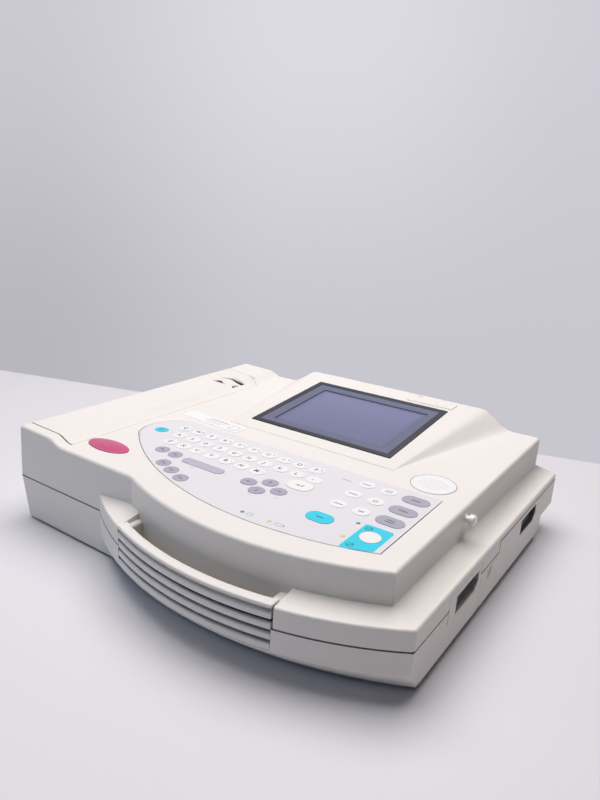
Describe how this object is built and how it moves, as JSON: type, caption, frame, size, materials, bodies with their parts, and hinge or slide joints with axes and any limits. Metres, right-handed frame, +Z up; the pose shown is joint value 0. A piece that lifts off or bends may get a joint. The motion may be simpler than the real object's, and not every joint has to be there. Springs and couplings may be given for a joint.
{
  "type": "electrocardiograph machine",
  "caption": "Portable electrocardiograph: two-tier case with keypad deck, tilted display hood, paper writer under a hinged door and carry grip in the curved front",
  "frame": {"origin": "on the table, under the middle of the bounding box", "axes": "+X to the operator's right, +Y away from the operator to the rear wall, +Z up"},
  "size_m": [0.39, 0.353, 0.1025],
  "materials": {
    "shell": "warm white moulded housing plastic with a very fine spark-eroded grain",
    "rubber": "black moulded rubber",
    "steel": "plain bright steel",
    "sheet_steel": "zinc-plated sheet steel",
    "foil": "pale lavender-grey printed membrane film with a fine matte texture",
    "cyan_print": "cyan print under matte film",
    "key_white": "white embossed membrane key",
    "key_grey": "grey embossed membrane key",
    "key_cyan": "cyan embossed membrane key",
    "lens": "small clear green light lens",
    "board": "green solder mask on glass-fibre board",
    "bezel": "dark slate display frame",
    "window_glass": "anti-glare display window",
    "lcd": "unlit blue-violet liquid crystal module in a metal frame",
    "ribbon": "grey flat ribbon cable",
    "core_iron": "laminated iron core with copper windings",
    "battery_wrap": "blue shrink-wrapped battery pack",
    "socket_metal": "tin-plated socket shell",
    "black_plastic": "black glass-filled plastic",
    "stud_plastic": "glossy white plastic stud",
    "button_grey": "dark grey push button",
    "ceramic_head": "ceramic thermal print bar",
    "hub_plastic": "grey nylon hub",
    "bushing_brass": "sintered bronze bushing",
    "gear_plastic": "ivory acetal gear",
    "pinion_brass": "brass pinion on a steel shaft",
    "motor_case": "dark painted motor case",
    "badge_magenta": "domed magenta oval badge, left bare",
    "label_white": "white adhesive labels, left bare",
    "nameplate_metal": "pale nameplate, left bare"
  },
  "bodies": {
    "case": {"lower_housing": "shell", "upper_housing": "shell", "rubber_feet": "rubber", "housing_screws": "steel", "carry_grip": "shell", "keypad_foil": "foil", "start_field": "cyan_print", "letter_keys": "key_white", "function_keys": "key_white", "edit_keys": "key_grey", "status_lights": "lens", "keypad_board": "board", "display_bezel": "bezel", "display_window": "window_glass", "lcd_module": "lcd", "lcd_bracket": "sheet_steel", "main_board": "board", "flat_cables": "ribbon", "power_board": "board", "transformer": "core_iron", "battery_pack": "battery_wrap", "connector_panel": "shell", "patient_socket": "socket_metal", "signal_socket": "socket_metal", "mains_inlet": "black_plastic", "lead_stud": "stud_plastic", "hinge_pins": "steel", "printhead": "ceramic_head", "head_bracket": "sheet_steel", "head_springs": "steel", "writer_frame": "black_plastic", "idler_pin": "steel", "motor": "motor_case", "motor_bracket": "sheet_steel", "badge": "badge_magenta", "labels": "label_white", "nameplate": "nameplate_metal"},
    "door": {"paper_door": "shell", "shaft_bushings": "bushing_brass", "button_spring": "steel"},
    "door_button": {"release_button": "button_grey"},
    "battery_cover": {"battery_door": "shell"},
    "platen_roller": {"platen": "rubber", "platen_shaft": "steel", "platen_gear": "gear_plastic"},
    "idler": {"idler_gear": "gear_plastic"},
    "pinion": {"motor_pinion": "pinion_brass"},
    "roll_spool": {"roll_hubs": "hub_plastic"},
    "power_key_cap": {"power_key": "key_cyan"},
    "start_key_cap": {"start_key": "key_white"},
    "copy_key_cap": {"copy_key": "key_cyan"},
    "mode_key_a_cap": {"mode_key_a": "key_grey"},
    "mode_key_b_cap": {"mode_key_b": "key_grey"},
    "mode_key_c_cap": {"mode_key_c": "key_grey"},
    "enter_key_cap": {"enter_key": "key_white"},
    "space_key_cap": {"space_key": "key_grey"},
    "arrow_left_cap": {"arrow_left": "key_grey"},
    "arrow_up_cap": {"arrow_up": "key_grey"},
    "arrow_down_cap": {"arrow_down": "key_grey"},
    "arrow_right_cap": {"arrow_right": "key_grey"}
  },
  "joints": [
    {"name": "paper_door_hinge", "type": "hinge", "parent": "case", "child": "door", "pos_m": [-0.19107, 0.0045, 0.066], "axis": [0, -1, 0], "range_deg": [0, 95]},
    {"name": "release_button_slide", "type": "slide", "parent": "door", "child": "door_button", "axis": [0, 0, -1], "range_m": [0, 0.002], "stiffness_N_per_m": 250, "deforming": ["button_spring"]},
    {"name": "battery_door_hinge", "type": "hinge", "parent": "case", "child": "battery_cover", "pos_m": [0.192, -0.0025, 0.008], "axis": [0, 1, 0], "range_deg": [0, 80]},
    {"name": "platen_spin", "type": "hinge", "parent": "door", "child": "platen_roller", "pos_m": [-0.172, 0.0045, 0.06], "axis": [0, 1, 0], "continuous": true},
    {"name": "idler_spin", "type": "hinge", "parent": "case", "child": "idler", "pos_m": [-0.17589, 0.1295, 0.03794], "axis": [0, 1, 0], "continuous": true},
    {"name": "motor_spin", "type": "hinge", "parent": "case", "child": "pinion", "pos_m": [-0.16024, 0.1295, 0.04127], "axis": [0, 1, 0], "continuous": true},
    {"name": "roll_spin", "type": "hinge", "parent": "case", "child": "roll_spool", "pos_m": [-0.156, 0.0045, 0.0306], "axis": [0, 1, 0], "continuous": true},
    {"name": "power_key_press", "type": "slide", "parent": "case", "child": "power_key_cap", "axis": [0, 0.014, -0.9999], "range_m": [0, 0.0005], "stiffness_N_per_m": 300},
    {"name": "start_key_press", "type": "slide", "parent": "case", "child": "start_key_cap", "axis": [0, 0.014, -0.9999], "range_m": [0, 0.0005], "stiffness_N_per_m": 300},
    {"name": "copy_key_press", "type": "slide", "parent": "case", "child": "copy_key_cap", "axis": [0, 0.014, -0.9999], "range_m": [0, 0.0005], "stiffness_N_per_m": 300},
    {"name": "mode_key_a_press", "type": "slide", "parent": "case", "child": "mode_key_a_cap", "axis": [0, 0.014, -0.9999], "range_m": [0, 0.0005], "stiffness_N_per_m": 300},
    {"name": "mode_key_b_press", "type": "slide", "parent": "case", "child": "mode_key_b_cap", "axis": [0, 0.014, -0.9999], "range_m": [0, 0.0005], "stiffness_N_per_m": 300},
    {"name": "mode_key_c_press", "type": "slide", "parent": "case", "child": "mode_key_c_cap", "axis": [0, 0.014, -0.9999], "range_m": [0, 0.0005], "stiffness_N_per_m": 300},
    {"name": "enter_key_press", "type": "slide", "parent": "case", "child": "enter_key_cap", "axis": [0, 0.014, -0.9999], "range_m": [0, 0.0005], "stiffness_N_per_m": 300},
    {"name": "space_key_press", "type": "slide", "parent": "case", "child": "space_key_cap", "axis": [0, 0.014, -0.9999], "range_m": [0, 0.0005], "stiffness_N_per_m": 300},
    {"name": "arrow_left_press", "type": "slide", "parent": "case", "child": "arrow_left_cap", "axis": [0, 0.014, -0.9999], "range_m": [0, 0.0005], "stiffness_N_per_m": 300},
    {"name": "arrow_up_press", "type": "slide", "parent": "case", "child": "arrow_up_cap", "axis": [0, 0.014, -0.9999], "range_m": [0, 0.0005], "stiffness_N_per_m": 300},
    {"name": "arrow_down_press", "type": "slide", "parent": "case", "child": "arrow_down_cap", "axis": [0, 0.014, -0.9999], "range_m": [0, 0.0005], "stiffness_N_per_m": 300},
    {"name": "arrow_right_press", "type": "slide", "parent": "case", "child": "arrow_right_cap", "axis": [0, 0.014, -0.9999], "range_m": [0, 0.0005], "stiffness_N_per_m": 300}
  ],
  "couplings": [
    {"joint": "idler_spin", "follows": "platen_spin", "ratio": -1.3333},
    {"joint": "motor_spin", "follows": "platen_spin", "ratio": 2}
  ]
}
